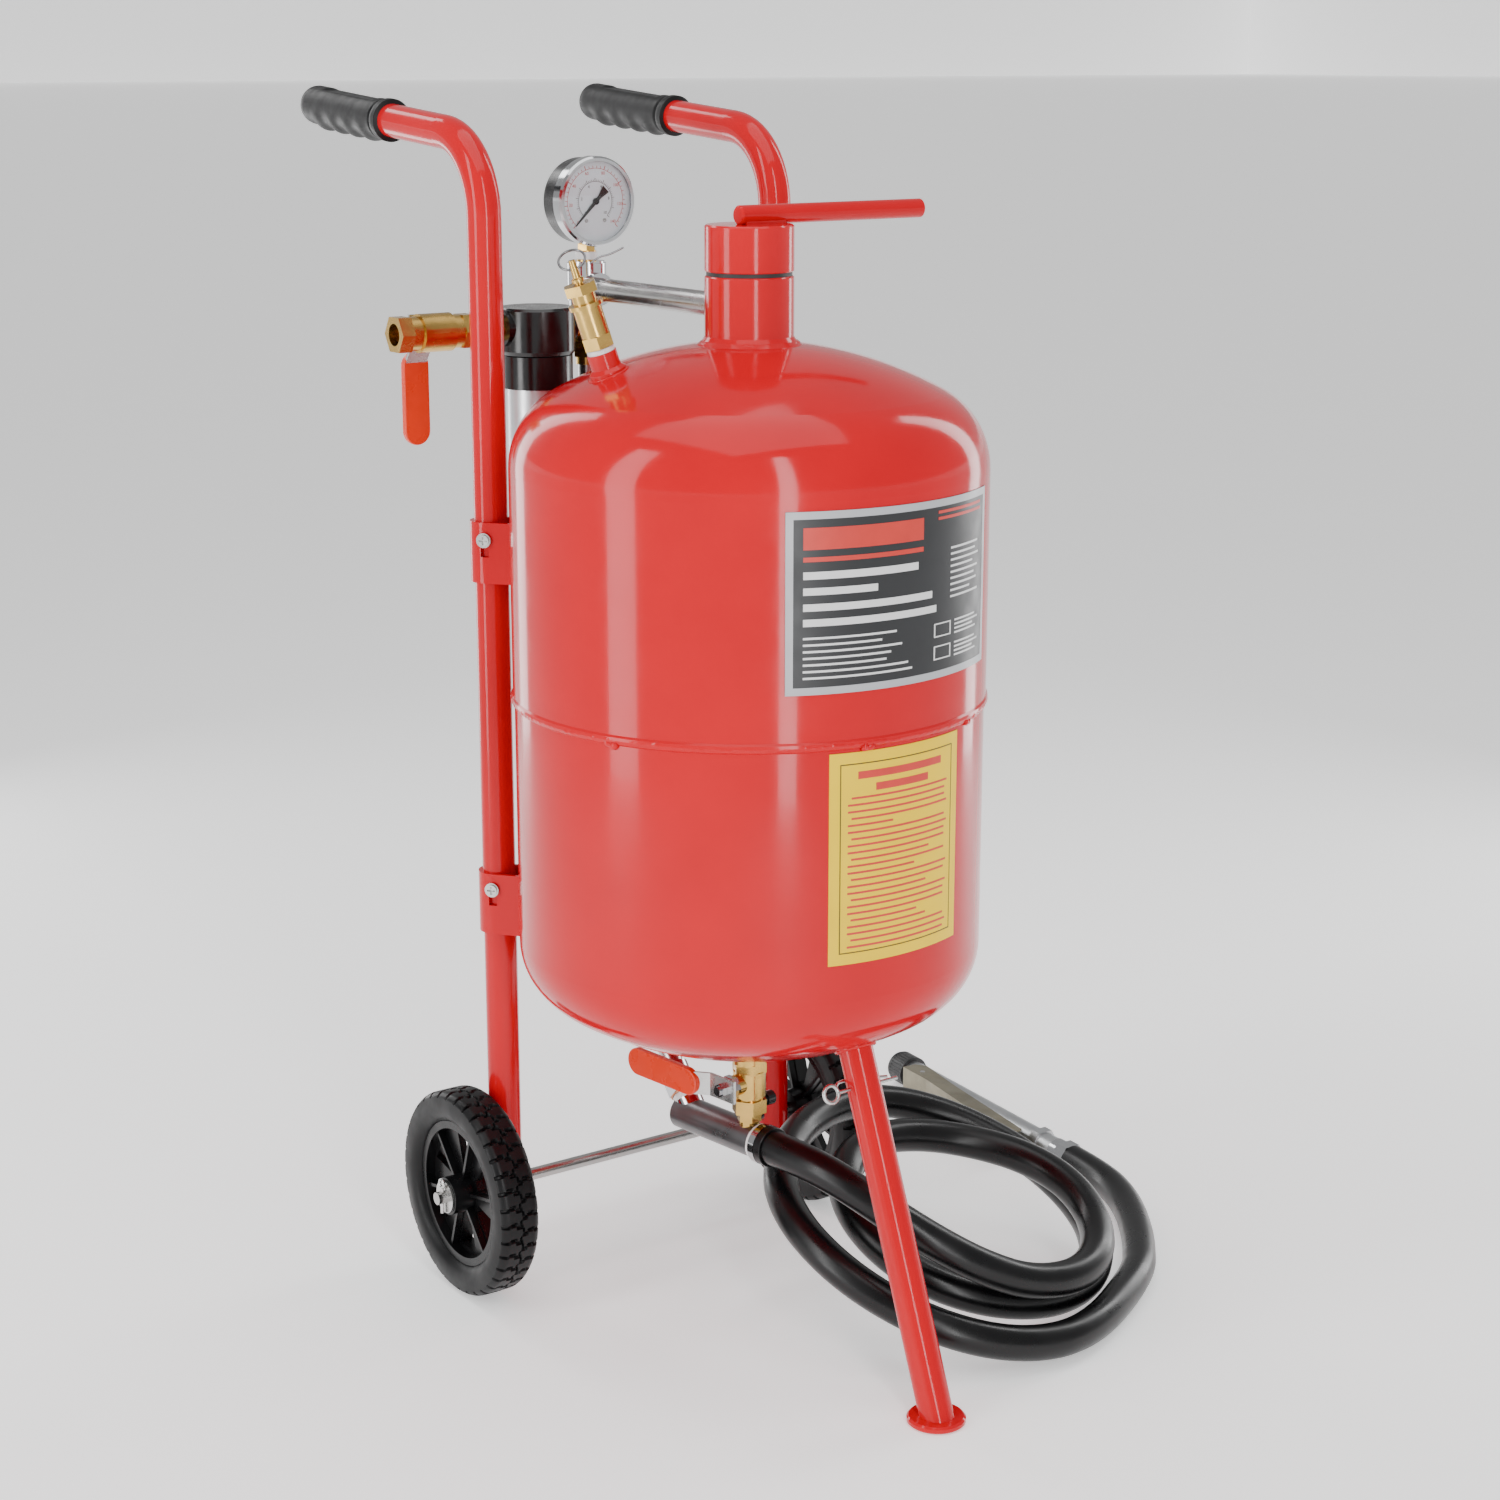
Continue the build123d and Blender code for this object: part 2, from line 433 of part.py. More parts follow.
# ------------------------------------------------------------------ filter and water separator
bench = Pos(FILTER_X, PIPE_Y, 0)
head = bench * turned([
    (0, 727), (FILTER_R - 2, 727), (FILTER_R, 730), (FILTER_R, 761), (FILTER_R - 2, 763), (0, 763),
])
head += rod((FILTER_X, PIPE_Y, PORT_Z), (FILTER_X - 32, PIPE_Y, PORT_Z), 14.0)
head += rod((FILTER_X, PIPE_Y, PORT_Z), (-16, PIPE_Y, PORT_Z), 14.0)
parts["filter_head"] = head
parts["filter_collar"] = bench * turned([(24, 701), (27.6, 701), (27.6, 726), (26.8, 727), (24, 727)])
bowl = bench * turned([
    (2.2, 628), (13, 628), (20, 631), (24, 638), (24, 727), (22, 727), (22, 640), (18, 633.5), (12, 630.5),
    (2.2, 630.5),
])
parts["filter_bowl"] = bowl
parts["filter_element"] = bench * turned([(7, 655), (12, 655), (12, 727), (7, 727)])
parts["filter_drain"] = bench * turned([
    (0, 632), (2.15, 632), (2.15, 627.7), (4.5, 627.7), (4.5, 621), (8.5, 621), (8.5, 612), (3.5, 612),
    (3, 606), (0, 606),
])

# ------------------------------------------------------------------ plates on the tank
parts["name_plate"] = turned_strip(TANK_R, TANK_R + 0.6, 530.0, 656.0, -117.0, -53.0)
parts["caution_plate"] = turned_strip(LOWER_R, LOWER_R + 0.6, 334.0, 487.0, -106.5, -67.0)

# ------------------------------------------------------------------ blasting gun, lying along Y
GUN_X, GUN_NUT_Y, GUN_TIP_Y, GUN_SKEW = 376.0, 46.0, 318.0, 4.2
gun_frame = Plane(
    origin=(GUN_X, GUN_NUT_Y, GUN_Z),
    x_dir=(-math.cos(math.radians(GUN_SKEW)), math.sin(math.radians(GUN_SKEW)), 0),
    z_dir=(math.sin(math.radians(GUN_SKEW)), math.cos(math.radians(GUN_SKEW)), 0),
)
# local: Z runs from the hose end to the nozzle; the gun lies on its side, its lever along +X towards the coil
length = GUN_TIP_Y - GUN_NUT_Y
nut = stack([("hex", 25.5, 0, 13), ("round", 12.6, 13, 22)])
parts["gun_nut"] = gun_frame * (nut - Pos(0, 0, -1) * extrude(Circle(8), 40))
gun_body = stack([("round", 11.5, 22, 44), ("hex", 25.0, 40, 50), ("round", 11.5, 48, length - 24)])
lug = block((8, 17), (-6, 6), (length - 70, length - 48))
gun_body += lug
gun_body -= Pos(0, 0, 20) * extrude(Circle(7.5), 300)
PIVOT_W, PIVOT_X = length - 58.0, 13.0
pin_hole = Plane(origin=(PIVOT_X, -30, PIVOT_W), z_dir=(0, 1, 0)) * extrude(Circle(2.5), 60)
parts["gun_body"] = gun_frame * (gun_body - pin_hole)
pin_seat = Plane(origin=(PIVOT_X, -15, PIVOT_W), z_dir=(0, 1, 0))
parts["gun_pin"] = gun_frame * (pin_seat * extrude(Circle(2.5), 30))
cap = stack([("round", 15.0, length - 24, length - 4), ("round", 13.6, length - 5, length - 0.5)])
for i in range(30):
    cap -= Rot(0, 0, 12 * i) * (Pos(15.4, 0, length - 22.5) * extrude(Circle(0.9), 17))
parts["nozzle_cap"] = gun_frame * (cap - Pos(0, 0, length - 30) * extrude(Circle(7.5), 40))
parts["nozzle"] = gun_frame * (
    stack([("round", 7.5, length - 24, length + 7)]) - Pos(0, 0, length - 30) * extrude(Circle(3.0), 60)
)
# sheet channel lever: top plate over the body with two sides, pivoted near the nozzle
lever_side = [
    (0.5, length - 46), (8, length - 38), (21.2, length - 38), (21.2, length - 76),
    (34.5, 52), (17, 52), (7, length - 100),
]
lever_room = [(-10, length - 20), (19.4, length - 20), (19.4, length - 76.2), (32.9, 40), (-10, 40)]
side_face = make_face(Polyline(*[(a, 0, b) for a, b in lever_side], close=True))
room_face = make_face(Polyline(*[(a, 0, b) for a, b in lever_room], close=True))
channel = extrude(side_face, 14.6, both=True) - extrude(room_face, 12.9, both=True)
lever_hole = Plane(origin=(PIVOT_X, -30, PIVOT_W), z_dir=(0, 1, 0)) * extrude(Circle(2.5 + FIT), 60)
parts["gun_lever"] = gun_frame * (channel - lever_hole)

# ------------------------------------------------------------------ hose: lead, leaning coil, tail
# The coil's low side lies on the floor and its far side leans on the right tyre.
COIL_RISE, COIL_CROSS, COIL_MID_X, COIL_LOW_Y = 0.38, 0.15, 160.0, -206.0
lead_points = [
    tuple(ferrule_end), tuple(ferrule_end + mix_dir * 42), (20, -99, 130), (38, -132, 112), (62, -159, 92),
    (92, -177, 72), (128, -187, 55),
]
gun_start = Vector(GUN_X, GUN_NUT_Y, GUN_Z)
gun_dir = Vector(math.sin(math.radians(GUN_SKEW)), math.cos(math.radians(GUN_SKEW)), 0)
tail_points = [
    tuple(gun_start), tuple(gun_start - gun_dir * 42), (359, -38, 13.8), (334, -79, 13.5), (303, -119, 13.5),
    (267, -157, 13.5), (232, -187, 13.5),
]


def hose_tube(points, radius):
    radii = []
    for a, b, c in zip(points, points[1:], points[2:]):
        u, v = Vector(*b) - Vector(*a), Vector(*c) - Vector(*b)
        turn = math.radians(u.get_angle(v))
        radii.append(0.45 * min(u.length, v.length) / math.tan(turn / 2))
    path = FilletPolyline(*points, radius=radii)
    start = Plane(origin=points[0], z_dir=Vector(*points[1]) - Vector(*points[0]))
    solid = sweep(start * Circle(radius), path=path)
    print("hose radii", [round(r) for r in radii], "length", round(path.length),
          "volume ratio", round(solid.volume / (math.pi * radius**2 * path.length), 4))
    return solid


parts["hose_lead"] = hose_tube(lead_points, HOSE_R)
parts["hose_tail"] = hose_tube(tail_points, HOSE_R)

# outer shape of the coil: its outline from above, between two parallel sloping planes
coil_outline = [
    (-19, -92), (-6, -152), (30, -202), (92, -228), (165, -229), (232, -202), (278, -148), (291, -70), (268, 8),
    (222, 58), (150, 74), (74, 60), (18, 10), (-12, -38),
]
coil_plan = make_face(Spline(*coil_outline, periodic=True)) - Pos(151, -86) * Ellipse(84, 82)
coil_base = Plane(
    origin=(COIL_MID_X, COIL_LOW_Y, 0), x_dir=(1, 0, -COIL_CROSS), z_dir=(COIL_CROSS, -COIL_RISE, 1)
)
slab = coil_base * (Pos(0, 0, 20) * Box(800, 800, 40))
coil = extrude(coil_plan, 300) & slab
coil -= rod(mix_centre + mix_dir * MIX_REAR, ferrule_end + mix_dir * 2, 16.5)
tyre_half = WHEEL_W / 2 + 1
tyre_room = rod((WHEEL_X - tyre_half, POST_Y, AXLE_Z), (WHEEL_X + tyre_half, POST_Y, AXLE_Z), WHEEL_R + 1)
parts["hose_coil"] = (coil - tyre_room).solid()

# ------------------------------------------------------------------ origin, files
CORD = {
    "hose_lead", "hose_coil", "hose_tail", "gun_nut", "gun_body", "gun_pin", "nozzle_cap", "nozzle", "gun_lever",
}
boxes = [shape.bounding_box() for name, shape in parts.items() if name not in CORD]
mid_x = (min(b.min.X for b in boxes) + max(b.max.X for b in boxes)) / 2
mid_y = (min(b.min.Y for b in boxes) + max(b.max.Y for b in boxes)) / 2
SHIFT = Vector(-mid_x, -mid_y, 0)

if __name__ == "__main__":
    print("shift", SHIFT, "floor", min(b.min.Z for b in boxes))
    os.makedirs("parts", exist_ok=True)
    for name, shape in parts.items():
        export_step(Location(SHIFT) * shape, f"parts/{name}.step")
    print(len(parts), "parts")
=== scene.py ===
"""Portable abrasive blasting tank: the looks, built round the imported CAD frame.

Sizes are millimetres about the tank's axis, as in the CAD; at() takes them to metres in the row frame.
"""

import math

import bpy
from mathutils import Matrix, Vector, noise


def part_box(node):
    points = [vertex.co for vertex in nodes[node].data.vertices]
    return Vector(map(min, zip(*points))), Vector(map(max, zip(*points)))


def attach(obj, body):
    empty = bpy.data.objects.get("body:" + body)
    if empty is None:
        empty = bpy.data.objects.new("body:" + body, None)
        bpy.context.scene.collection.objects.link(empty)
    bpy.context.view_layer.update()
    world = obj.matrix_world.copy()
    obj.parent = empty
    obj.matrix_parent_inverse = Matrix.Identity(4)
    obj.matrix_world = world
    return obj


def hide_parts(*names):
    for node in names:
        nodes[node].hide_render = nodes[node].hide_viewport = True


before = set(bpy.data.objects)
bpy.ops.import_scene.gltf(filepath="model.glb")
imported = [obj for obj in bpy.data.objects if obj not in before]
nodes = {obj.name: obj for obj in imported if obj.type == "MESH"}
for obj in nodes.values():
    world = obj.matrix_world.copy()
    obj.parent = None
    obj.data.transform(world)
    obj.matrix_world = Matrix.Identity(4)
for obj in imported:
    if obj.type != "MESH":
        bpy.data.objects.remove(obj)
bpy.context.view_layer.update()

MM = 0.001
shell_low, shell_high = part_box("tank_lower_shell")
AXIS = (shell_low + shell_high) / 2
# tank: radius above and below the lap seam, and the seam's height
TANK_R, LOWER_R, SEAM_Z = 175.0, 173.8, 494.0
WHEEL_X, WHEEL_Y, WHEEL_Z, WHEEL_R, WHEEL_W = 163.0, 152.0, 82.0, 82.0, 34.0
# handles: where the bent tube ends, and where its straight post would meet it
HANDLE_X, HANDLE_Y, HANDLE_Z, POST_Y, POST_Z = 130, 418, 913, 152, 892
# hose, and the mixing tube that it leaves from
HOSE_R = 13.5
YAW = math.radians(8)
MIX_AT, MIX_DIR = Vector((0, 0, 139)), Vector((math.sin(YAW), -math.cos(YAW), 0))
GUN_YAW = math.radians(4.2)
GUN_FROM, GUN_DIR = Vector((376, 46, 15)), Vector((math.sin(GUN_YAW), math.cos(GUN_YAW), 0))
GAUGE_AT, COLUMN_Y = Vector((0, 203.5, 842)), 222


def at(x, y, z):
    return Vector((x * MM + AXIS.x, y * MM + AXIS.y, z * MM))


def at_point(p):
    return at(p[0], p[1], p[2])


# ------------------------------------------------------------------ camera
CAMERA_DIP, CAMERA_TURN = 14.2, -34.9


def make_camera():
    data = bpy.data.cameras.new("camera")
    data.sensor_width, data.lens = 36.0, 66.5
    camera = bpy.data.objects.new("camera", data)
    camera.location = at(-1147, -1645, 956)
    camera.rotation_euler = (math.radians(90 - CAMERA_DIP), 0, math.radians(CAMERA_TURN))
    bpy.context.scene.collection.objects.link(camera)
    bpy.context.scene.camera = camera


make_camera()


# ------------------------------------------------------------------ hose: lead, leaning coil, tail
FERRULE_END = MIX_AT + MIX_DIR * 20
# the middle of the hose before and after the coil
LEAD = [
    FERRULE_END, FERRULE_END + MIX_DIR * 42, (20, -99, 130), (38, -132, 112), (62, -159, 92), (92, -177, 72),
]
TAIL = [
    (267, -157, 13.5), (303, -119, 13.5), (334, -79, 13.5), (359, -38, 13.8), GUN_FROM - GUN_DIR * 42, GUN_FROM,
]
# the coil lies on a plane that rises to the back and, less, to the left
COIL_RISE, COIL_CROSS, COIL_MID_X, COIL_LOW_Y = 0.38, 0.15, 160.0, -206.0
# turns wound, centre x and y, half width and half depth as seen from above, and lift off the turn below
COIL_SHAPE = [
    (0.00, 154, -88, 100, 102, 29),
    (0.25, 152, -88, 100, 100, 29),
    (0.50, 150, -86, 100, 98, 6),
    (0.80, 150, -84, 100, 98, 0),
    (1.00, 152, -72, 104, 102, 0),
    (1.25, 157, -64, 116, 114, 0),
    (1.50, 152, -60, 121, 124, 0),
    (1.75, 142, -72, 146, 122, 0),
    (2.00, 136, -92, 152, 124, 0),
    (2.40, 148, -92, 152, 124, 0),
]
COIL_START, COIL_END, POINTS_PER_TURN = -105.0, 647.0, 14  # the first two in degrees


def coil_shape(wound):
    """The row of COIL_SHAPE at a number of turns, blended between its neighbours."""
    for (a, *low), (b, *high) in zip(COIL_SHAPE, COIL_SHAPE[1:]):
        if a <= wound <= b:
            t = (wound - a) / (b - a)
            t = t * t * (3 - 2 * t)
            return [p + (q - p) * t for p, q in zip(low, high)]


def coil_points():
    points, step = [], 360.0 / POINTS_PER_TURN
    for k in range(int((COIL_END - COIL_START) / step) + 1):
        cx, cy, half_x, half_y, lift = coil_shape(k / POINTS_PER_TURN)
        angle = math.radians(COIL_START + k * step)
        x, y = cx + half_x * math.cos(angle), cy + half_y * math.sin(angle)
        lean = COIL_RISE * (y - COIL_LOW_Y) - COIL_CROSS * (x - COIL_MID_X)
        points.append((x, y, HOSE_R + max(0.0, lean) + lift))
    return points


def round_curve(name, places, radius, sides, steps):
    """Round tube along a smooth line through points in mm."""
    curve = bpy.data.curves.new(name, "CURVE")
    curve.dimensions = "3D"
    # a bevel of 1 m, which the radius of each point brings down to size
    curve.bevel_depth, curve.bevel_resolution, curve.resolution_u = 1.0, sides, steps
    curve.use_fill_caps = True
    spline = curve.splines.new("NURBS")
    spline.points.add(len(places) - 1)
    for point, place in zip(spline.points, places):
        point.co, point.radius = (*at_point(place), 1), radius * MM
    spline.order_u = 3
    spline.use_endpoint_u = True
    piece = bpy.data.objects.new(name, curve)
    bpy.context.scene.collection.objects.link(piece)
    return piece


def make_hose():
    hose = round_curve("hose", LEAD + coil_points() + TAIL, HOSE_R, 10, 10)
    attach(hose, "base")
    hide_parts("hose_lead", "hose_coil", "hose_tail")
    return hose


hose = make_hose()


# ------------------------------------------------------------------ materials
class Finish:
    """A node material: colour drift, roughness drift and a fine bump, all in the piece's own space."""

    def __init__(self, name, colour, rough, metallic=0.0, **constants):
        self.material = bpy.data.materials.new(name)
        self.material.use_nodes = True
        self.tree = self.material.node_tree
        self.shader = self.tree.nodes["Principled BSDF"]
        self.shader.inputs["Metallic"].default_value = metallic
        for socket, value in constants.items():
            self.shader.inputs[socket.replace("_", " ")].default_value = value
        self.coords = self.tree.nodes.new("ShaderNodeTexCoord").outputs["Object"]
        self.colour, self.rough = colour, rough
        self.last_bump = None

    def link(self, a, b):
        self.tree.links.new(a, b)

    def noise(self, scale, stretch=None, detail=4.0):
        node = self.tree.nodes.new("ShaderNodeTexNoise")
        node.inputs["Scale"].default_value = scale
        node.inputs["Detail"].default_value = detail
        source = self.coords
        if stretch:
            mapping = self.tree.nodes.new("ShaderNodeMapping")
            mapping.inputs["Scale"].default_value = stretch
            self.link(self.coords, mapping.inputs["Vector"])
            source = mapping.outputs["Vector"]
        self.link(source, node.inputs["Vector"])
        return node.outputs["Fac"]

    def ramp(self, factor, low, high):
        """Spreads the middle of a noise over low to high."""
        node = self.tree.nodes.new("ShaderNodeMapRange")
        node.inputs["From Min"].default_value, node.inputs["From Max"].default_value = 0.35, 0.65
        node.inputs["To Min"].default_value, node.inputs["To Max"].default_value = low, high
        self.link(factor, node.inputs["Value"])
        return node.outputs["Result"]

    def drift(self, scale, amount, stretch=None):
        """Colour wanders between the base colour and a slightly darker one."""
        mix = self.tree.nodes.new("ShaderNodeMix")
        mix.data_type = "RGBA"
        dark = [c * (1 - amount) for c in self.colour]
        mix.inputs["A"].default_value = (*self.colour, 1)
        mix.inputs["B"].default_value = (*dark, 1)
        self.link(self.ramp(self.noise(scale, stretch), 0, 1), mix.inputs["Factor"])
        self.link(mix.outputs["Result"], self.shader.inputs["Base Color"])
        return self

    def gloss(self, scale, amount, stretch=None):
        """Roughness wanders by amount to either side."""
        factor = self.noise(scale, stretch)
        self.link(self.ramp(factor, self.rough - amount, self.rough + amount), self.shader.inputs["Roughness"])
        return self

    def bump(self, scale, strength, stretch=None, depth=0.0003):
        """Fine relief, laid over any earlier one; depth in metres."""
        node = self.tree.nodes.new("ShaderNodeBump")
        node.inputs["Strength"].default_value = strength
        node.inputs["Distance"].default_value = depth
        self.link(self.noise(scale, stretch, 3.0), node.inputs["Height"])
        if self.last_bump:
            self.link(self.last_bump, node.inputs["Normal"])
        self.last_bump = node.outputs["Normal"]
        self.link(self.last_bump, self.shader.inputs["Normal"])
        return self


def make_finishes():
    made = {}

    def add(name, colour, rough, metallic=0.0, drift=(30, 0.1), gloss=(60, 0.04), bump=(900, 0.05), **constants):
        finish = Finish(name, colour, rough, metallic, **constants)
        made[name] = finish.drift(*drift).gloss(*gloss).bump(*bump)

    add("red_paint", (0.56, 0.0, 0.008), 0.13, drift=(14, 0.07), gloss=(45, 0.03), bump=(200, 0.012),
        Coat_Weight=0.15, Coat_Roughness=0.03, Specular_IOR_Level=0.2)
    add("black_grip", (0.005, 0.005, 0.0055), 0.45, drift=(60, 0.2), gloss=(120, 0.05), bump=(1500, 0.04),
        Specular_IOR_Level=0.25)
    add("hose_rubber", (0.003, 0.003, 0.0035), 0.3, drift=(40, 0.25), gloss=(35, 0.05), bump=(1200, 0.03),
        Specular_IOR_Level=0.35)
    made["hose_rubber"].bump(90, 0.03, depth=0.0006)
    add("gasket_rubber", (0.02, 0.018, 0.018), 0.6, bump=(2200, 0.15))
    add("tyre_rubber", (0.004, 0.004, 0.0045), 0.42, drift=(50, 0.25), gloss=(70, 0.06), bump=(1500, 0.05),
        Specular_IOR_Level=0.25)
    add("wheel_plastic", (0.004, 0.004, 0.0045), 0.3, drift=(40, 0.2), gloss=(60, 0.05), bump=(900, 0.03),
        Specular_IOR_Level=0.3)
    add("black_plastic", (0.003, 0.003, 0.0035), 0.2, drift=(40, 0.2), gloss=(80, 0.05), bump=(1400, 0.05))
    add("gauge_black", (0.014, 0.014, 0.015), 0.26, drift=(60, 0.2), gloss=(80, 0.05), bump=(1600, 0.06))
    add("nozzle_plastic", (0.018, 0.018, 0.019), 0.4, drift=(60, 0.2), gloss=(90, 0.06), bump=(1900, 0.1))
    add("chrome_plate", (0.55, 0.555, 0.57), 0.1, 1.0, drift=(60, 0.05), gloss=(60, 0.025), bump=(260, 0.012))
    add("zinc_steel", (0.62, 0.62, 0.61), 0.26, 1.0, drift=(80, 0.1), gloss=(90, 0.04), bump=(420, 0.02))
    add("bare_steel", (0.5, 0.49, 0.48), 0.24, 1.0, drift=(30, 0.1), gloss=(45, 0.04), bump=(300, 0.012))
    add("gun_steel", (0.3, 0.275, 0.2), 0.38, 0.8, drift=(45, 0.3), gloss=(70, 0.07), bump=(500, 0.04))
    add("gun_aluminium", (0.55, 0.56, 0.57), 0.34, 1.0, drift=(70, 0.08), gloss=(90, 0.05), bump=(420, 0.03))
    add("valve_brass", (0.66, 0.42, 0.12), 0.24, 1.0, drift=(55, 0.15), gloss=(80, 0.05), bump=(420, 0.03))
    add("bowl_metal", (0.62, 0.63, 0.65), 0.32, 0.85, drift=(40, 0.06), gloss=(60, 0.04), bump=(400, 0.015))
    add("satin_steel", (0.2, 0.2, 0.205), 0.3, 1.0, drift=(30, 0.15), gloss=(40, 0.04), bump=(300, 0.015))
    add("filter_sinter", (0.7, 0.68, 0.62), 0.75, drift=(300, 0.25), bump=(2200, 0.4))
    add("nozzle_ceramic", (0.78, 0.75, 0.68), 0.45, drift=(200, 0.1), bump=(1700, 0.15))
    add("orange_vinyl", (0.72, 0.035, 0.004), 0.3, drift=(35, 0.1), gloss=(60, 0.05), bump=(900, 0.06))
    add("dial_card", (0.86, 0.91, 0.96), 0.5, drift=(80, 0.03), gloss=(60, 0.03), bump=(600, 0.02))
    add("needle_black", (0.012, 0.012, 0.013), 0.4, drift=(300, 0.2), bump=(1500, 0.05))
    add("gauge_glass", (0.97, 0.98, 0.98), 0.04, drift=(20, 0.01), gloss=(30, 0.015), bump=(90, 0.01),
        Transmission_Weight=1.0, IOR=1.3)
    add("plate_grey", (0.016, 0.017, 0.019), 0.4, drift=(30, 0.12), gloss=(60, 0.05), bump=(1500, 0.05))
    add("plate_yellow", (0.9, 0.6, 0.0), 0.34, drift=(26, 0.05), gloss=(60, 0.04), bump=(600, 0.03),
        Specular_IOR_Level=0.2)
    add("plate_border", (0.42, 0.43, 0.45), 0.38, drift=(30, 0.06), gloss=(60, 0.05), bump=(1500, 0.04))
    add("print_white", (0.72, 0.72, 0.72), 0.45, drift=(60, 0.05), bump=(1500, 0.04))
    add("print_red", (0.6, 0.03, 0.02), 0.45, drift=(60, 0.08), bump=(1500, 0.04))
    add("print_dark", (0.05, 0.03, 0.01), 0.5, drift=(60, 0.1), bump=(1500, 0.04))
    add("thread_tape", (0.84, 0.85, 0.85), 0.5, drift=(250, 0.1), gloss=(200, 0.1), bump=(700, 0.4, (1, 1, 4)))
    add("copper_ring", (0.75, 0.33, 0.17), 0.3, 1.0, drift=(90, 0.2), bump=(1200, 0.08))
    return {name: finish.material for name, finish in made.items()}


finishes = make_finishes()


def dress(piece, finish):
    piece.data.materials.clear()
    piece.data.materials.append(finishes[finish])


for node in nodes.values():
    slot = node.data.materials[0].name.split(".")[0]
    for index in range(len(node.data.materials)):
        node.data.materials[index] = finishes[slot]
dress(hose, "hose_rubber")
dress(nodes["mixing_tube"], "satin_steel")
dress(nodes["relief_ring"], "satin_steel")


# ------------------------------------------------------------------ mesh helpers
def mesh_piece(name, vertices, faces, finish, body="base", slot=None, sharp=32):
    """A mesh piece from points in metres, riding on a body; edges over sharp degrees stay crisp."""
    mesh = bpy.data.meshes.new(name)
    mesh.from_pydata([tuple(v) for v in vertices], [], faces)
    mesh.validate()
    mesh.update()
    mesh.shade_smooth()
    mesh.set_sharp_from_angle(angle=math.radians(sharp))
    piece = bpy.data.objects.new(name, mesh)
    bpy.context.scene.collection.objects.link(piece)
    mesh.materials.append(finishes[finish])
    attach(piece, body)
    return piece


def axes(origin, forward, side=(1, 0, 0)):
    """Frame at a point in mm with local Z along forward; local X is as near to side as it can be."""
    z = Vector(forward).normalized()
    x = (Vector(side) - z * Vector(side).dot(z)).normalized()
    y = z.cross(x)
    m = Matrix((x, y, z)).transposed().to_4x4()
    m.translation = Vector(origin)
    return m


def skin(rows, closed):
    """Faces over a body's cross sections; the last section may join the first."""
    count, width, faces = len(rows), len(rows[0]), []
    for i in range(count if closed else count - 1):
        for j in range(width):
            a, b = i * width + j, i * width + (j + 1) % width
            c, d = ((i + 1) % count) * width + (j + 1) % width, ((i + 1) % count) * width + j
            faces.append((a, b, c, d))
    return faces


def solid(rows, closed=False):
    """Points and faces of a body given by its cross sections: a closed ring, or capped at both ends."""
    points, faces = [p for row in rows for p in row], skin(rows, closed)
    if not closed:
        width, last = len(rows[0]), len(points)
        faces += [tuple(range(width - 1, -1, -1)), tuple(range(last - width, last))]
    return points, faces


def join(parts):
    """Points and faces of several bodies as one."""
    points, faces = [], []
    for some_points, some_faces in parts:
        base = len(points)
        points += some_points
        faces += [tuple(base + v for v in f) for f in some_faces]
    return points, faces


def lathe(name, outline, place, finish, segments, wobble=0.0, **more):
    """Closed (radius, height) outline turned about the local Z of place."""
    rows = []
    for i in range(segments):
        angle = 2 * math.pi * i / segments
        row = []
        for j, (r, z) in enumerate(outline):
            grow = wobble * noise.noise(Vector((i * 0.7, j * 1.3, len(name))))
            row.append(at_point(place @ Vector(((r + grow) * math.cos(angle), (r + grow) * math.sin(angle), z))))
        rows.append(row)
    mesh_piece(name, *solid(rows, closed=True), finish, **more)


BEAD_SIDES = 10


def bead(name, centres, normals, radius, seed, ripple=0.25, pitch=5.5, closed=True):
    """A weld bead along a line of points in mm: a fat ridge with the ripples of each pass."""
    rows, count, travelled = [], len(centres), 0.0
    for i, (centre, normal) in enumerate(zip(centres, normals)):
        ahead = centres[(i + 1) % count] if closed or i < count - 1 else centres[i]
        behind = centres[i - 1] if closed or i else centres[0]
        along = (Vector(ahead) - Vector(behind)).normalized()
        out = Vector(normal).normalized()
        side = along.cross(out).normalized()
        wave = math.sin(2 * math.pi * travelled / pitch)
        r = radius * (1 + ripple * (0.35 * wave + noise.noise(Vector((i * 0.21, seed, 0.5)))))
        shift = side * (radius * 0.45 * noise.noise(Vector((i * 0.09, seed + 7, 0))))
        rows.append([
            at_point(Vector(centre) + shift + (out * math.sin(a) * r * 0.8 + side * math.cos(a) * r))
            for a in (2 * math.pi * k / BEAD_SIDES for k in range(BEAD_SIDES))
        ])
        travelled += (Vector(ahead) - Vector(centre)).length
    mesh_piece(name, *solid(rows, closed), "red_paint", slot="red_paint", sharp=80)


def wire(name, places, radius, finish, body="base"):
    """Round wire along a smooth line through points in mm."""
    piece = round_curve(name, places, radius, 4, 8)
    piece.data.materials.append(finishes[finish])
    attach(piece, body)


# ------------------------------------------------------------------ weld beads
# domed ends: where the knuckle starts, its radius and the crown's radius, then the crown's centre
TOP_KNUCKLE_Z, TOP_KNUCKLE_R, TOP_CROWN_R = 662.0, 62.0, 300.0
LOW_KNUCKLE_Z, LOW_KNUCKLE_R, LOW_CROWN_R = 306.0, 52.0, 295.0
TOP_CENTRE_Z = TOP_KNUCKLE_Z - math.sqrt((TOP_CROWN_R - TOP_KNUCKLE_R) ** 2 - (TANK_R - TOP_KNUCKLE_R) ** 2)
LOW_CENTRE_Z = LOW_KNUCKLE_Z + math.sqrt((LOW_CROWN_R - LOW_KNUCKLE_R) ** 2 - (LOWER_R - LOW_KNUCKLE_R) ** 2)


